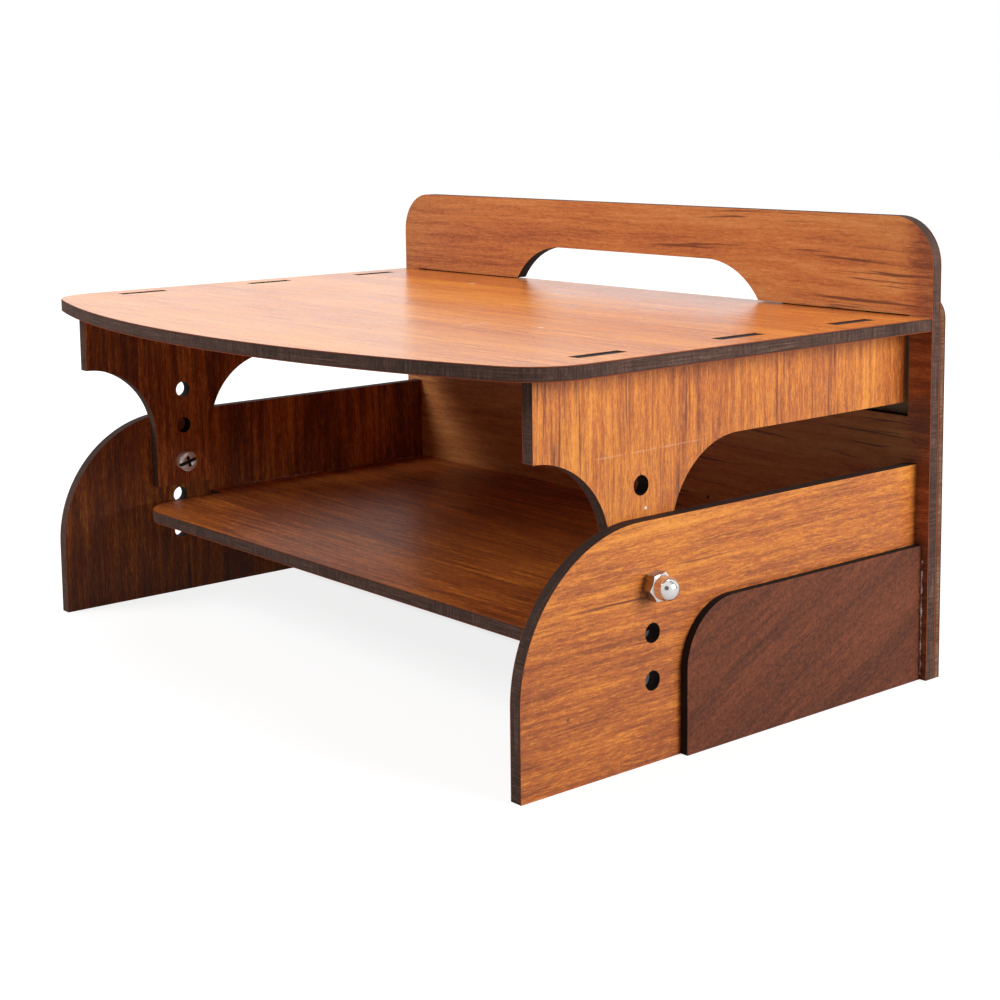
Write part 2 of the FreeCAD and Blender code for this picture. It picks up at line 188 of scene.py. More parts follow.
TEAK = {
    "pale": srgb(246, 176, 88), "light": srgb(238, 152, 60), "middle": srgb(200, 112, 50),
    "dark": srgb(152, 78, 40), "vein": srgb(104, 52, 32)}
# Greyer, less orange teak for the back panel: the greyness is a painted sheen on its front
BACK_TEAK = {
    "pale": srgb(232, 168, 104), "light": srgb(216, 139, 78), "middle": srgb(185, 109, 66),
    "dark": srgb(143, 79, 50), "vein": srgb(114, 62, 42)}
WALNUT = {
    "pale": srgb(160, 92, 64), "light": srgb(140, 76, 50), "middle": srgb(104, 58, 40),
    "dark": srgb(76, 43, 32), "vein": srgb(52, 29, 22)}
TONE_STOPS = ((0.14, "pale"), (0.33, "light"), (0.50, "middle"), (0.68, "dark"), (0.88, "vein"))

# Noise layers of the print: steps per millimetre along and across the grain, detail, roughness
GRAIN_LAYERS = {
    "drift": (0.004, 0.010, 1.0, 0.50),
    "ripple": (0.020, 0.05, 2.0, 0.50),
    "wiggle": (0.09, 0.22, 1.0, 0.50),
    "broad": (0.0055, 0.050, 3.0, 0.55),
    "streak": (0.022, 0.36, 4.0, 0.66),
    "fine": (0.26, 1.7, 3.0, 0.65),
    "fleck": (0.17, 1.3, 3.0, 0.60),
    "veins": (0.017, 0.66, 3.0, 0.55),
    "grown": (0.014, 0.045, 1.0, 0.50),
    "clouds": (0.8, 1.1, 4.0, 0.75),
    "grit": (0.30, 0.90, 3.0, 0.60),
}
# How far the grain lines wander across the board, in millimetres
DRIFT_WIDTH = 13.0
RIPPLE_WIDTH = 1.8
WIGGLE_WIDTH = 0.6
STREAK_WEIGHT = 0.72
FINE_WEIGHT = 0.46
FLECK_WEIGHT = 0.60
LAMINATE_RELIEF = 0.07 * MM
DUST_TONE = srgb(238, 226, 214)


def grain_space(shader, along, across, shift, tilt):
    """Coordinates with the grain along X and the board's width along Y, in millimetres."""
    parts = shader.axes(shader.place())
    joined = shader.node("CombineXYZ")
    through = X + Y + Z - along - across
    for slot, axis in enumerate((along, across, through)):
        shader.feed(joined.inputs[slot], parts[axis])
    turned = shader.node("Mapping", vector_type="POINT")
    shader.feed(turned.inputs["Vector"], joined.outputs[0])
    turned.inputs["Location"].default_value = shift
    turned.inputs["Rotation"].default_value = (0.0, 0.0, tilt)
    return turned.outputs[0]


def grain_layer(shader, grain, name):
    """One noise layer, drawn out along the grain."""
    along, across, detail, roughness = GRAIN_LAYERS[name]
    stretched = shader.vector("MULTIPLY", grain, (along, across, across))
    return shader.noise(stretched, detail=detail, roughness=roughness)


def wavy_grain(shader, grain, figure):
    """The grain's coordinates, bent so that its lines wander across the board."""
    bend = shader.swing(grain_layer(shader, grain, "drift"), DRIFT_WIDTH * figure)
    bend = shader.swing(grain_layer(shader, grain, "ripple"), RIPPLE_WIDTH, bend)
    bend = shader.swing(grain_layer(shader, grain, "wiggle"), WIGGLE_WIDTH, bend)
    lift = shader.node("CombineXYZ")
    shader.feed(lift.inputs[Y], bend)
    return shader.vector("ADD", grain, lift.outputs[0])


def laminate(name, along, across, shift, tones=TEAK, tilt=0.0, figure=1.0, gloss=0.36, specular=0.42,
             bands=0.50, lines=1.0, mottle=0.34, shade=None, dust=0.0, marks=(), specks=()):
    """Printed wood laminate: soft bands, short streaks, gold flecks, brown veins and fine mottling."""
    shader = new_shader(name)
    grain = grain_space(shader, along, across, shift, tilt)
    wavy = wavy_grain(shader, grain, figure)
    fine = grain_layer(shader, wavy, "fine")
    tone = shader.swing(grain_layer(shader, wavy, "broad"), bands, 0.5)
    tone = shader.swing(grain_layer(shader, wavy, "streak"), STREAK_WEIGHT * lines, tone)
    tone = shader.swing(fine, FINE_WEIGHT * lines, tone)
    tone = shader.swing(grain_layer(shader, grain, "clouds"), mottle, tone)
    # A board's shade function darkens or pales the print: mostly painted shade and painted light
    if shade:
        tone = shader.math("ADD", tone, shade(shader))
    colour = shader.ramp(tone, [(stop, tones[key]) for stop, key in TONE_STOPS])

    fleck = shader.band(grain_layer(shader, wavy, "fleck"), 0.52, 0.64)
    fleck = shader.math("MULTIPLY", fleck, FLECK_WEIGHT * lines)
    fleck = shader.math("MULTIPLY", fleck, shader.band(tone, 0.45, 0.70, 1.0, 0.25))
    colour = shader.mix(fleck, colour, tones["light"])

    vein = shader.band(grain_layer(shader, wavy, "veins"), 0.58, 0.67)
    grown = shader.band(grain_layer(shader, grain, "grown"), 0.42, 0.62, 0.10, 0.85)
    vein = shader.math("MULTIPLY", vein, grown)
    colour = shader.mix(shader.math("MULTIPLY", vein, lines), colour, tones["vein"])

    if dust:
        colour = add_dust(shader, colour, dust)
    for mark in marks:
        colour = add_scratch(shader, colour, *mark)
    for speck in specks:
        colour = add_speck(shader, colour, *speck)
    worn = shader.noise(shader.place(), 0.05, 3.0)
    rough = shader.math("MULTIPLY_ADD", worn, 0.10, gloss - 0.05)
    relief = shader.math("MULTIPLY_ADD", fine, 0.6, grain_layer(shader, grain, "grit"))
    return shader.surface(colour, rough, relief, LAMINATE_RELIEF, Specular_IOR_Level=specular)


def add_dust(shader, colour, amount):
    """Sparse pale specks about half a millimetre wide."""
    cells = shader.node("TexVoronoi", feature="F1")
    shader.feed(cells.inputs["Vector"], shader.place())
    cells.inputs["Scale"].default_value = 0.11
    spot = shader.band(cells.outputs["Distance"], 0.018, 0.034, 1.0, 0.0)
    draw = shader.node("SeparateColor")
    shader.feed(draw.inputs[0], cells.outputs["Color"])
    chosen = shader.band(draw.outputs[0], 1.0 - amount, 1.0 - amount + 0.002)
    return shader.mix(shader.math("MULTIPLY", spot, chosen), colour, DUST_TONE)


def add_scratch(shader, colour, start, end, width, strength, tone):
    """One fine broken scratch from start to end, in millimetres of the stand."""
    way = Vector(end) - Vector(start)
    from_start = shader.vector("SUBTRACT", shader.place(), Vector(start))
    run = shader.vector("DOT_PRODUCT", from_start, way)
    share = shader.math("DIVIDE", run, way.length_squared, clamp=True)
    distance = shader.vector("DISTANCE", from_start, shader.vector("SCALE", way, scale=share))
    wander = shader.swing(shader.noise(shader.place(), 0.3), 1.2)
    mask = shader.band(shader.math("ADD", distance, wander), 0.0, width, 1.0, 0.0)
    broken = shader.band(shader.noise(shader.place(), 0.12, 3.0), 0.30, 0.55, 0.15, 1.0)
    mask = shader.math("MULTIPLY", shader.math("MULTIPLY", mask, broken), strength)
    return shader.mix(mask, colour, tone)


def add_speck(shader, colour, centre, radius, tone):
    """One small ragged spot, in millimetres of the stand."""
    distance = shader.vector("DISTANCE", shader.place(), centre)
    ragged = shader.math("MULTIPLY", shader.noise(shader.place(), 1.7, 2.0), radius)
    mask = shader.band(shader.math("ADD", distance, ragged), radius * 1.1, radius * 1.6, 0.85, 0.0)
    return shader.mix(mask, colour, tone)


# Laser-burnt cut edges

SOOT = {
    "light": srgb(132, 101, 87), "middle": srgb(86, 63, 54), "dark": srgb(43, 31, 27),
    "film": srgb(158, 80, 46)}
BROWN_EDGE = {
    "light": srgb(176, 140, 106), "middle": srgb(122, 84, 62), "dark": srgb(76, 38, 28),
    "film": srgb(104, 46, 30)}
# Near-black char; on the bolt holes, slots, tab ends and window it also paints the shade in those recesses
CHAR = {
    "light": srgb(52, 38, 32), "middle": srgb(32, 22, 18), "dark": srgb(16, 11, 9),
    "film": srgb(58, 34, 25)}
EDGE_STOPS = ((0.34, "dark"), (0.50, "middle"), (0.66, "light"))
# The laminate film on each face and the burnt seam under it, in millimetres
FILM = 0.45
FILM_BLUR = 0.1
SEAM_NEAR = 0.05
SEAM_FAR = 0.45
FILM_COVER = 0.85
SEAM_COVER = 0.65
# How much painted shade darkens an edge where it faces up
UPWARD_SHADE = 0.75
FIBRE_WEIGHT = 0.34
EDGE_RELIEF = 0.12 * MM


def burnt_edge(name, axis, low, high, tones):
    """Scorched fibreboard: laser strokes across it, fibre layers along it, and painted shade where it faces
    up.
    """
    shader = new_shader(name)
    place = shader.place()
    across = [1.0, 1.0, 1.0]
    across[axis] = 0.10
    strokes = shader.noise(shader.vector("MULTIPLY", place, across), 1.3, 3.0, 0.6)
    along = [0.06, 0.06, 0.06]
    along[axis] = 1.6
    layers = shader.noise(shader.vector("MULTIPLY", place, along), 1.0, 3.0, 0.65)
    fibres = shader.noise(place, 2.2, 3.0, 0.65)
    patches = shader.noise(place, 0.035, 3.0)
    tone = shader.math("MULTIPLY", fibres, FIBRE_WEIGHT)
    tone = shader.math("MULTIPLY_ADD", strokes, shader.band(patches, 0.40, 0.60, 0.15, 0.48), tone)
    tone = shader.math("MULTIPLY_ADD", layers, shader.band(patches, 0.40, 0.60, 0.51, 0.18), tone)
    colour = shader.ramp(tone, [(stop, tones[key]) for stop, key in EDGE_STOPS])
    colour = shader.mix(shader.band(patches, 0.48, 0.72, 0.0, 0.45), colour, tones["dark"])

    depth = shader.math("SUBTRACT", shader.axes(place)[axis], (low + high) / 2)
    outward = shader.math("ABSOLUTE", depth)
    line = (high - low) / 2 - FILM
    film = shader.math("MULTIPLY", shader.band(outward, line, line + FILM_BLUR), FILM_COVER)
    colour = shader.mix(film, colour, tones["film"])
    seam = shader.band(outward, line - SEAM_FAR, line - SEAM_NEAR, 0.0, SEAM_COVER)
    seam = shader.math("MULTIPLY", seam, shader.math("SUBTRACT", 1.0, film))
    colour = shader.mix(seam, colour, tones["dark"])

    facing_up = shader.axes(shader.node("NewGeometry").outputs["Normal"])[Z]
    # Edges that face up are drawn darker: painted shade, for edges that look dark seen edge-on from above
    colour = shader.mix(shader.band(facing_up, 0.15, 0.85, 0.0, UPWARD_SHADE), colour, tones["dark"])
    return shader.surface(colour, 0.8, tone, EDGE_RELIEF, Specular_IOR_Level=0.2)


def raw_board(name):
    """Unlaminated brown fibreboard."""
    shader = new_shader(name)
    place = shader.place()
    fibres = shader.noise(place, 1.4, 5.0, 0.7)
    clouds = shader.noise(place, 0.03, 3.0)
    tone = shader.math("MULTIPLY_ADD", clouds, 0.4, shader.math("MULTIPLY", fibres, 0.6))
    colour = shader.ramp(tone, [(0.35, srgb(140, 118, 92)), (0.65, srgb(182, 158, 128))])
    return shader.surface(colour, 0.8, fibres, 0.05 * MM)


# Where the laser has charred a board most, drawn near-black as char and painted shade: the bolt holes, tabs
# and slots, and the back panel's window

screw_low, screw_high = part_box("right_clamp_screw")
BOLT_Y = (screw_low[Y] + screw_high[Y]) / 2
BOLT_Z = (screw_low[Z] + screw_high[Z]) / 2
HOLE_PITCH = 18.0 * MM
HOLE_REACH = 5.0 * MM
TAB_LEVEL = 150.0 * MM
SLOT_INNER, SLOT_OUTER = 158.0 * MM, 167.0 * MM
SLOTS_FRONT, SLOTS_REAR = -90.0 * MM, 100.0 * MM
WINDOW_HALF = 140.0 * MM
WINDOW_FOOT, WINDOW_HEAD = 60.0 * MM, 190.0 * MM


def side_char_and_shade(polygon):
    """Walls of the bolt holes, which stand one pitch apart."""
    centre = polygon.center
    height = BOLT_Z + round((centre.z - BOLT_Z) / HOLE_PITCH) * HOLE_PITCH
    return math.hypot(centre.y - BOLT_Y, centre.z - height) < HOLE_REACH


def leg_char_and_shade(polygon):
    """Bolt hole walls and the ends of the tabs."""
    return side_char_and_shade(polygon) or polygon.center.z > TAB_LEVEL


def slot_char_and_shade(polygon):
    """Walls of the slots that take the legs' tabs."""
    centre = polygon.center
    return SLOT_INNER < abs(centre.x) < SLOT_OUTER and SLOTS_FRONT < centre.y < SLOTS_REAR


def window_char_and_shade(polygon):
    """Walls of the opening for the hand and the tabletop's tongue."""
    return abs(polygon.center.x) < WINDOW_HALF and WINDOW_FOOT < polygon.center.z < WINDOW_HEAD


# How much darker or, below zero, paler a board's print is drawn: on most boards painted shade and painted
# light

def evenly(amount):
    """The same amount all over."""
    return lambda shader: amount


def darker_low(shader):
    """Darker towards the board's foot."""
    return shader.band(shader.axes(shader.place())[Z], 45.0, 86.0, 0.125, -0.060)


def back_shade(shader):
    """Paler all over and most to the right, painted light from beside the right leg, up to a painted shadow
    strip at the end.
    """
    right = shader.axes(shader.place())[X]
    # Painted light, strongest to the right
    painted_light = shader.band(right, -110.0, 60.0, -0.10, -0.18)
    # Painted shadow on the strip at the right end
    painted_shadow = shader.band(right, 158.0, 174.0, 0.0, 0.32)
    return shader.math("ADD", painted_light, painted_shadow)


def top_shade(shader):
    """Pale at the left and front; darker at the rear, a painted reflection of the back panel above it."""
    parts = shader.axes(shader.place())
    right = shader.band(parts[X], -40.0, 150.0, -0.07, -0.05)
    # Darker towards the rear: painted reflection of the back panel
    rear = shader.band(parts[Y], 20.0, 115.0, 0.0, 0.08)
    return shader.math("ADD", right, rear)


# Scratches (start, end, width, strength, tone) and specks (centre, radius, tone), in millimetres of the stand

TABLE_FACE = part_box("tabletop")[1][Z] / MM
LEG_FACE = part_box("right_leg")[1][X] / MM
SIDE_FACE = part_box("right_side_panel")[1][X] / MM
BACK_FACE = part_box("back_panel")[0][Y] / MM
PALE = srgb(240, 205, 170)
BROWN = srgb(120, 62, 36)
LIP = srgb(250, 236, 220)
RUST = srgb(190, 84, 52)
TAN = srgb(196, 128, 78)
RED_BROWN = srgb(112, 60, 42)
PIT = srgb(14, 9, 7)
TABLE_MARKS = (((60.6, -34.4, TABLE_FACE), (59.1, -21.1, TABLE_FACE), 0.9, 0.7, PALE),)
TABLE_SPECKS = (
    ((87.4, -15.8, TABLE_FACE), 1.3, LIP),
    ((66.1, 56.7, TABLE_FACE), 1.8, RUST),
    ((82.6, -95.5, TABLE_FACE), 1.9, TAN),
    ((39.6, -65.4, TABLE_FACE), 1.1, BROWN),
    ((-136.2, 75.3, TABLE_FACE), 1.6, BROWN),
    ((-79.0, 84.6, TABLE_FACE), 2.2, PALE),
)
LEG_MARKS = (
    ((LEG_FACE, -58.5, 115.6), (LEG_FACE, -1.0, 116.4), 0.5, 0.24, PALE),
    ((LEG_FACE, -34.0, 99.5), (LEG_FACE, -33.8, 91.5), 0.5, 0.6, RED_BROWN),
)
LEG_SPECKS = (((LEG_FACE, -33.7, 94.6), 0.75, LIP),)
SIDE_SPECKS = (((SIDE_FACE, -77.8, 25.7), 0.8, BROWN),)
BACK_SPECKS = (((52.2, BACK_FACE, 59.1), 1.0, PIT),)


# Boards

LOW_FACE, EDGE, HIGH_FACE, CHARRED_AND_SHADED = range(4)
FACE_LEAN = 0.9


def dress_board(name, axis, face, back=None, edge_tones=SOOT, charred_and_shaded=None):
    """Gives a board its laminate on both faces, and burnt edges that are blacker where charred, with painted
    shade there too.
    """
    low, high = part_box(name)
    span = (low[axis] / MM, high[axis] / MM)
    mesh = nodes[name].data
    mesh.materials.clear()
    mesh.materials.append(face)
    mesh.materials.append(burnt_edge(name + "_edge", axis, *span, edge_tones))
    mesh.materials.append(back or face)
    if charred_and_shaded:
        mesh.materials.append(burnt_edge(name + "_char_and_shade", axis, *span, CHAR))
    for polygon in mesh.polygons:
        lean = polygon.normal[axis]
        if abs(lean) > FACE_LEAN:
            polygon.material_index = HIGH_FACE if lean > 0 else LOW_FACE
        else:
            polygon.material_index = CHARRED_AND_SHADED if charred_and_shaded and charred_and_shaded(polygon) else EDGE


def dress_boards():
    """Every board's laminate, with the grain's run and the shift that picks its stretch of print."""
    dress_board("tabletop", Z, laminate(
        "top_laminate", X, Y, (40.0, 10.0, 0.0), gloss=0.22, specular=0.75, bands=0.42, lines=0.6,
        mottle=0.46, shade=top_shade, dust=0.06, marks=TABLE_MARKS, specks=TABLE_SPECKS), charred_and_shaded=slot_char_and_shade)
    # Drawn darker all over: painted shade under the tabletop
    dress_board("shelf", Z, laminate(
        "shelf_laminate", X, Y, (410.0, 330.0, 90.0), gloss=0.32, specular=0.22, lines=1.2,
        shade=evenly(0.10), dust=0.08))
    dress_board("back_panel", Y, laminate(
        "back_laminate", X, Z, (-120.0, 75.0, 500.0), BACK_TEAK, gloss=0.46, specular=0.30,
        shade=back_shade, specks=BACK_SPECKS), charred_and_shaded=window_char_and_shade)
    dress_board("rear_cover", Y, raw_board("raw_face"), laminate(
        "cover_laminate", X, Z, (300.0, 40.0, 220.0), WALNUT), edge_tones=BROWN_EDGE)
    dress_board("right_side_panel", X, laminate(
        "right_side_laminate", Y, Z, (90.0, 620.0, 40.0), shade=darker_low, specks=SIDE_SPECKS),
        charred_and_shaded=side_char_and_shade)
    # Drawn darker all over than the right side panel: painted shade for the stand's shaded inside
    dress_board("left_side_panel", X, laminate(
        "left_side_laminate", Z, Y, (710.0, 50.0, 130.0), specular=0.25, bands=1.0, lines=1.3,
        shade=evenly(0.14)), charred_and_shaded=side_char_and_shade)
    dress_board("right_leg", X, laminate(
        "right_leg_laminate", Z, Y, (-50.0, 270.0, 310.0), marks=LEG_MARKS, specks=LEG_SPECKS),
        charred_and_shaded=leg_char_and_shade)
    # Drawn darker all over than the right leg: painted shade for the stand's shaded inside
    dress_board("left_leg", X, laminate(
        "left_leg_laminate", Z, Y, (150.0, 480.0, 20.0), specular=0.25, bands=1.0, lines=1.3,
        shade=evenly(0.15)), charred_and_shaded=leg_char_and_shade)
    for side in ("left", "right"):
        dress_board(side + "_outer_panel", X, laminate(
            side + "_outer_laminate", Y, Z, (60.0, 140.0, 77.0), WALNUT, tilt=-0.45, figure=0.8, gloss=0.5,
            specular=0.16, bands=0.36, lines=0.50, mottle=0.85, dust=0.03), edge_tones=CHAR)


# Screws and cap nuts, tightened to where they stand

SCREW_TURN = 84.0
NUT_TURN = 20.0
SCREW_ROUNDING = 0.32 * MM
NUT_ROUNDING = 0.12 * MM
RECESS_TOP, RECESS_FLOOR = 0.25 * MM, 2.2 * MM
RECESS_REACH = 4.4 * MM
FLAT_REACH = 4.8 * MM
FLAT_LEAN = 0.3
WELD_DISTANCE = 0.002 * MM
COPLANAR_ANGLE = math.radians(0.5)
ROUNDED_ANGLE = math.radians(20.0)
SMOOTH_ANGLE = math.radians(24.0)
ROUNDING_STEPS = 3

# A facet's depth from the piece's inner end, its reach from the bolt's axis, its normal's lean along the bolt
Facet = namedtuple("Facet", "depth reach lean")


def is_recess(facet):
    """True in a screw head's slot and cross."""
    return RECESS_TOP < facet.depth < RECESS_FLOOR and facet.reach < RECESS_REACH


def is_flat(facet):
    """True on a nut's six flats."""
    return facet.lean < FLAT_LEAN and facet.reach > FLAT_REACH


def plated_metal(name, tone, roughness, metallic, coat=0.0):
    """Plated steel with faint handling marks."""
    shader = new_shader(name)
    smear = shader.noise(shader.place(), 0.8, 4.0, 0.6)
    rough = shader.math("MULTIPLY_ADD", smear, 0.10, roughness - 0.05)
    return shader.surface(tone, rough, smear, 0.01 * MM, Metallic=metallic, Coat_Weight=coat,
                          Coat_Roughness=0.08, Coat_IOR=1.9)


def rounded_copy(node_name, name, turn, rounding):
    """A copy of a CAD mesh, turned about the bolt and with its sharp edges rounded."""
    centre = Vector((0.0, BOLT_Y, BOLT_Z))
    about_x = Matrix.Rotation(math.radians(turn), 4, "X")
    spin = Matrix.Translation(centre) @ about_x @ Matrix.Translation(-centre)
    shape = bmesh.new()
    shape.from_mesh(nodes[node_name].data)
    shape.transform(spin)
    bmesh.ops.remove_doubles(shape, verts=shape.verts, dist=WELD_DISTANCE)
    bmesh.ops.dissolve_limit(shape, angle_limit=COPLANAR_ANGLE, verts=shape.verts, edges=shape.edges)
    sharp = [edge for edge in shape.edges if edge.is_manifold and edge.calc_face_angle() > ROUNDED_ANGLE]
    bmesh.ops.bevel(shape, geom=sharp, offset=rounding, offset_type="OFFSET", segments=ROUNDING_STEPS,
                    profile=0.5, affect="EDGES", clamp_overlap=True)
    mesh = bpy.data.meshes.new(name)
    shape.to_mesh(mesh)
    shape.free()
    return mesh


def add_piece(name, mesh, body):
    """Puts a new piece in the scene, riding on a body."""
    piece = bpy.data.objects.new(name, mesh)
    bpy.context.scene.collection.objects.link(piece)
    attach(piece, body)
    return piece


def add_fastener(node_name, name, turn, rounding, metal, shaded_metal, is_shaded):
    """A machined piece in the place of its CAD node, in its plating and a darker copy of it that paints shade
    on some facets.
    """
    mesh = rounded_copy(node_name, name, turn, rounding)
    mesh.materials.append(metal)
    mesh.materials.append(shaded_metal)
    inner = min(mesh.vertices, key=lambda vertex: abs(vertex.co.x)).co.x
    for polygon in mesh.polygons:
        polygon.use_smooth = True
        centre = polygon.center
        reach = math.hypot(centre.y - BOLT_Y, centre.z - BOLT_Z)
        if is_shaded(Facet(abs(centre.x - inner), reach, abs(polygon.normal.x))):
            polygon.material_index = 1
    mesh.set_sharp_from_angle(angle=SMOOTH_ANGLE)
    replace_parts(add_piece(name, mesh, "top_unit"), node_name)


def add_fasteners():
    """A screw and a cap nut on each side; the left ones mirror the right ones."""
    for side, sign in (("left", 1), ("right", -1)):
        add_fastener(
            side + "_acorn_nut", side + "_cap_nut", -sign * NUT_TURN, NUT_ROUNDING,
            # Whiter than chrome and partly diffuse: plating with a painted reflection of a white room
            plated_metal(side + "_nut_plating_and_reflection", srgb(240, 237, 235), 0.10, 0.85),
            # A darker copy of the plating on the flats: painted shade
            plated_metal(side + "_nut_flats_shaded", srgb(164, 152, 144), 0.20, 1.0), is_flat)
        add_fastener(
            side + "_clamp_screw", side + "_screw", sign * SCREW_TURN, SCREW_ROUNDING,
            # Near-white and mostly diffuse: plating with a painted reflection of a white room
            plated_metal(side + "_screw_plating_and_reflection", srgb(255, 252, 248), 0.22, 0.40, coat=1.0),
            # A near-black copy in the slot and cross: painted shade in the recess
            plated_metal(side + "_screw_recess_shaded", srgb(40, 36, 34), 0.5, 0.6), is_recess)


# Dried glue: beads between the outer panels and the back panel, a line along the shelf's left end

RING_STEP = 0.6 * MM
RING_POINTS = 8
LUMP_LENGTH = 3.2 * MM
CRUMB_LENGTH = 1.1 * MM
TIP_RADIUS = 0.02 * MM
BEAD_RADII = (0.12 * MM, 0.75 * MM)
BEAD_FOOT = 2.0 * MM
BEAD_STOP = 6.0 * MM
LINE_RADII = (0.06 * MM, 0.30 * MM)
LINE_START, LINE_END = 1.0 * MM, 112.0 * MM
MEAN_THICKNESS = 0.45
LUMP_SWING = 0.75
CRUMB_SHARE = 0.5
# How far a bead's middle stands off its two walls, in radii
FIRST_STANDOFF = 0.8
SECOND_STANDOFF = 0.9


def dried_glue(name):
    """Cloudy dried glue, whitish with brown stains."""
    shader = new_shader(name)
    cloud = shader.noise(shader.place(), 0.5, 3.0, 0.6)
    colour = shader.ramp(cloud, [
        (0.40, srgb(120, 72, 54)), (0.50, srgb(184, 146, 132)), (0.62, srgb(226, 208, 200))])
    return shader.surface(colour, 0.35, cloud, 0.05 * MM)


def thickness(along, seed):
    """How thick a bead is at a distance along it, from 0 to 1."""
    lump = noise.noise(Vector((seed, 0.0, along / LUMP_LENGTH)))
    crumb = noise.noise(Vector((0.0, seed, along / CRUMB_LENGTH)))
    return min(max(MEAN_THICKNESS + LUMP_SWING * (lump + CRUMB_SHARE * crumb), 0.0), 1.0)


def add_bead(name, start, end, out_first, out_second, radii, seed):
    """A bead along a corner, thicker and thinner by turns, leaning on the two walls that it joins."""
    start, end = Vector(start), Vector(end)
    out_first, out_second = Vector(out_first), Vector(out_second)
    least, most = radii
    length = (end - start).length
    rings = int(length / RING_STEP)
    points = []
    for ring in range(rings + 1):
        radius = least + (most - least) * thickness(length * ring / rings, seed)
        if ring in (0, rings):
            radius = TIP_RADIUS
        middle = start.lerp(end, ring / rings)
        for step in range(RING_POINTS):
            angle = math.tau * step / RING_POINTS
            first = out_first * (radius * (FIRST_STANDOFF + math.cos(angle)))
            second = out_second * (radius * (SECOND_STANDOFF + math.sin(angle)))
            points.append(middle + first + second)
    mesh = bpy.data.meshes.new(name)
    mesh.from_pydata(points, [], tube_faces(rings))
    shape = bmesh.new()
    shape.from_mesh(mesh)
    bmesh.ops.recalc_face_normals(shape, faces=shape.faces)
    shape.to_mesh(mesh)
    shape.free()
    for polygon in mesh.polygons:
        polygon.use_smooth = True
    mesh.materials.append(dried_glue(name + "_glue"))
    add_piece(name, mesh, "base")


def tube_faces(rings):
    """The faces of a closed tube whose rings of points follow one another."""
    faces = []
    for ring in range(rings):
        for step in range(RING_POINTS):
            first = ring * RING_POINTS + step
            second = ring * RING_POINTS + (step + 1) % RING_POINTS
            faces.append((first, second, second + RING_POINTS, first + RING_POINTS))
    faces.append(tuple(range(RING_POINTS)))
    faces.append(tuple(range(rings * RING_POINTS, (rings + 1) * RING_POINTS)))
    return faces


def add_glue():
    """The two beads and the line."""
    for side, sign in (("left", -1), ("right", 1)):
        low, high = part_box(side + "_outer_panel")
        corner = high[X] if sign > 0 else low[X]
        foot = (corner, high[Y], BEAD_FOOT)
        head = (corner, high[Y], high[Z] - BEAD_STOP)
        add_bead(side + "_glue_bead", foot, head, (sign, 0.0, 0.0), (0.0, -1.0, 0.0), BEAD_RADII, 7.0 * sign)
    shelf_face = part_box("shelf")[1][Z]
    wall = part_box("left_side_panel")[1][X]
    add_bead("shelf_glue_line", (wall, LINE_START, shelf_face), (wall, LINE_END, shelf_face),
             (1.0, 0.0, 0.0), (0.0, 0.0, 1.0), LINE_RADII, 3.0)


# Studio

FLOOR_HALF = 6.0
FLOOR_TONE = (0.28, 0.277, 0.275, 1.0)
# The floor's whiteness for the camera near the stand, where 1 is all white, and what the stand takes from it
NEAR_SHARE = 0.85
UNDER_SHADE = 0.92
CENTRE = (0.0, 0.0, 0.08)
AMBIENT = 0.11
# What mirrors see: a pale room to the front, with a dark spot in its middle, and a wall behind
BEHIND = (-0.70, 0.68, 0.22)
FRONT = (0.64, -0.70, 0.32)
DIM_SIDE = 0.26
ROOM_LEVEL = 0.85
SPOT_LEVEL = 0.06


def floor_ground(name):
    """Pale ground that goes to white for camera and mirror rays, and keeps its shade under the stand."""
    shader = new_shader(name)
    place = shader.place()
    parts = shader.axes(place)
    path = shader.node("LightPath")
    mirrored = shader.math("MULTIPLY", path.outputs["Is Glossy Ray"], 0.5)
    seen = shader.math("MAXIMUM", path.outputs["Is Camera Ray"], mirrored)
    seen = shader.math("MAXIMUM", seen, path.outputs["Is Transmission Ray"])
    share = shader.band(shader.vector("LENGTH", place), 380.0, 900.0, NEAR_SHARE, 1.0)

    between_sides = shader.band(shader.math("ABSOLUTE", parts[X]), 130.0, 172.0, 1.0, 0.0)
    front_line = shader.band(parts[X], 20.0, 90.0, 24.0, 4.0)
    behind_line = shader.band(shader.math("SUBTRACT", parts[Y], front_line), 0.0, 30.0)
    before_back = shader.band(parts[Y], 112.0, 126.0, 1.0, 0.0)
    shaded = shader.math("MULTIPLY", between_sides, shader.math("MULTIPLY", behind_line, before_back))
    unshaded = shader.math("SUBTRACT", 1.0, shader.math("MULTIPLY", shaded, UNDER_SHADE))
    share = shader.math("MULTIPLY", share, unshaded)

    ground = shader.node("BsdfDiffuse")
    ground.inputs["Color"].default_value = FLOOR_TONE
    glow = shader.node("Emission")
    glow.inputs["Color"].default_value = WHITE
    shader.feed(glow.inputs["Strength"], shader.math("MULTIPLY", seen, share))
    both = shader.node("AddShader")
    shader.feed(both.inputs[0], ground.outputs[0])
    shader.feed(both.inputs[1], glow.outputs[0])
    shader.feed(shader.output.inputs["Surface"], both.outputs[0])
    return shader.owner


def add_floor():
    """A wide plain floor under the stand."""
    corners = [(FLOOR_HALF * x, FLOOR_HALF * y, 0.0) for x, y in ((-1, -1), (1, -1), (1, 1), (-1, 1))]
    mesh = bpy.data.meshes.new("floor")
    mesh.from_pydata(corners, [], [(0, 1, 2, 3)])
    mesh.materials.append(floor_ground("floor_white"))
    floor = bpy.data.objects.new("floor", mesh)
    bpy.context.scene.collection.objects.link(floor)


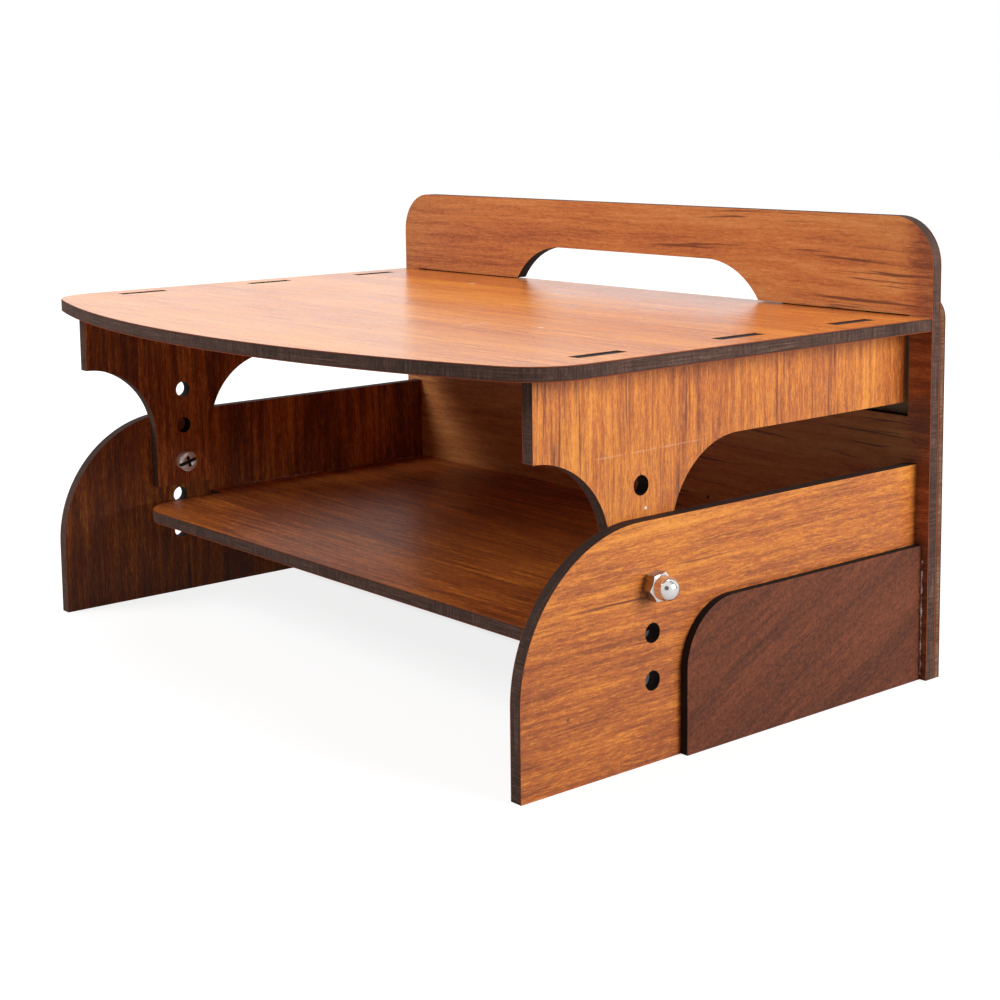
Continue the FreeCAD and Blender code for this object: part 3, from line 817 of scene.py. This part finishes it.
def facing(studio, direction, low, high, out_low, out_high):
    """A smooth step over the angle between a world ray and a fixed direction."""
    ray = studio.node("TexCoord").outputs["Generated"]
    dot = studio.vector("DOT_PRODUCT", ray, Vector(direction).normalized())
    return studio.band(dot, low, high, out_low, out_high)


def add_world():
    """Soft ambient light; camera rays see plain white, mirror rays a pale room that is dim at its sides."""
    world = bpy.data.worlds.new("studio")
    bpy.context.scene.world = world
    studio = Graph(world, "OutputWorld")
    path = studio.node("LightPath")
    room = studio.math("MAXIMUM", facing(studio, FRONT, 0.15, 0.60, 0.0, ROOM_LEVEL),
                       facing(studio, BEHIND, 0.10, 0.55, DIM_SIDE, 1.0))
    room = studio.math("MULTIPLY", room, facing(studio, FRONT, 0.90, 0.97, 1.0, SPOT_LEVEL))
    level = studio.choose(path.outputs["Is Glossy Ray"], AMBIENT, room)
    level = studio.choose(path.outputs["Is Camera Ray"], level, 1.0)
    background = studio.node("Background")
    background.inputs["Color"].default_value = WHITE
    studio.feed(background.inputs["Strength"], level)
    studio.feed(studio.output.inputs["Surface"], background.outputs[0])


def add_softbox(name, place, width, power):
    """A square area lamp aimed at the stand."""
    data = bpy.data.lights.new(name, "AREA")
    data.size = width
    data.energy = power
    lamp = bpy.data.objects.new(name, data)
    lamp.location = place
    aim = Vector(CENTRE) - Vector(place)
    lamp.rotation_euler = aim.to_track_quat("-Z", "Y").to_euler()
    bpy.context.scene.collection.objects.link(lamp)


def add_lamps():
    """Three soft lamps, their widths in metres and powers in watts."""
    add_softbox("key_softbox", (1.8, 0.75, 0.8), width=1.0, power=38.0)
    add_softbox("top_softbox", (-0.3, 0.3, 1.9), width=1.2, power=22.0)
    add_softbox("front_softbox", (-0.9, -1.5, 1.5), width=1.0, power=27.0)


# Camera, from the lines of the stand

CAMERA_PLACE = Vector((639.94, -499.75, 239.85)) * MM
CAMERA_TURN = math.radians(50.053)
CAMERA_DROP = math.radians(7.431)
CAMERA_ROLL = math.radians(-0.676)
FOCAL_PIXELS = 1852.6
IMAGE_PIXELS = 1000.0
SENSOR_WIDTH = 36.0
VIEW_SHIFT = -0.15
NEAREST = 0.01


def add_camera():
    """A camera turned from +Y to the left, dropped from the level and rolled about its view."""
    forward = Vector((
        -math.sin(CAMERA_TURN) * math.cos(CAMERA_DROP),
        math.cos(CAMERA_TURN) * math.cos(CAMERA_DROP),
        -math.sin(CAMERA_DROP)))
    level = Vector((math.cos(CAMERA_TURN), math.sin(CAMERA_TURN), 0.0))
    upright = level.cross(forward)
    right = level * math.cos(CAMERA_ROLL) + upright * math.sin(CAMERA_ROLL)
    up = upright * math.cos(CAMERA_ROLL) - level * math.sin(CAMERA_ROLL)
    data = bpy.data.cameras.new("camera")
    data.sensor_width = SENSOR_WIDTH
    data.lens = FOCAL_PIXELS * SENSOR_WIDTH / IMAGE_PIXELS
    data.shift_y = VIEW_SHIFT
    data.clip_start = NEAREST
    camera = bpy.data.objects.new("camera", data)
    turn = Matrix((right, up, -forward)).transposed().to_4x4()
    camera.matrix_world = Matrix.Translation(CAMERA_PLACE) @ turn
    bpy.context.scene.collection.objects.link(camera)
    bpy.context.scene.camera = camera


dress_boards()
add_fasteners()
add_glue()
add_floor()
add_world()
add_lamps()
add_camera()
bpy.context.scene.view_settings.view_transform = "Standard"
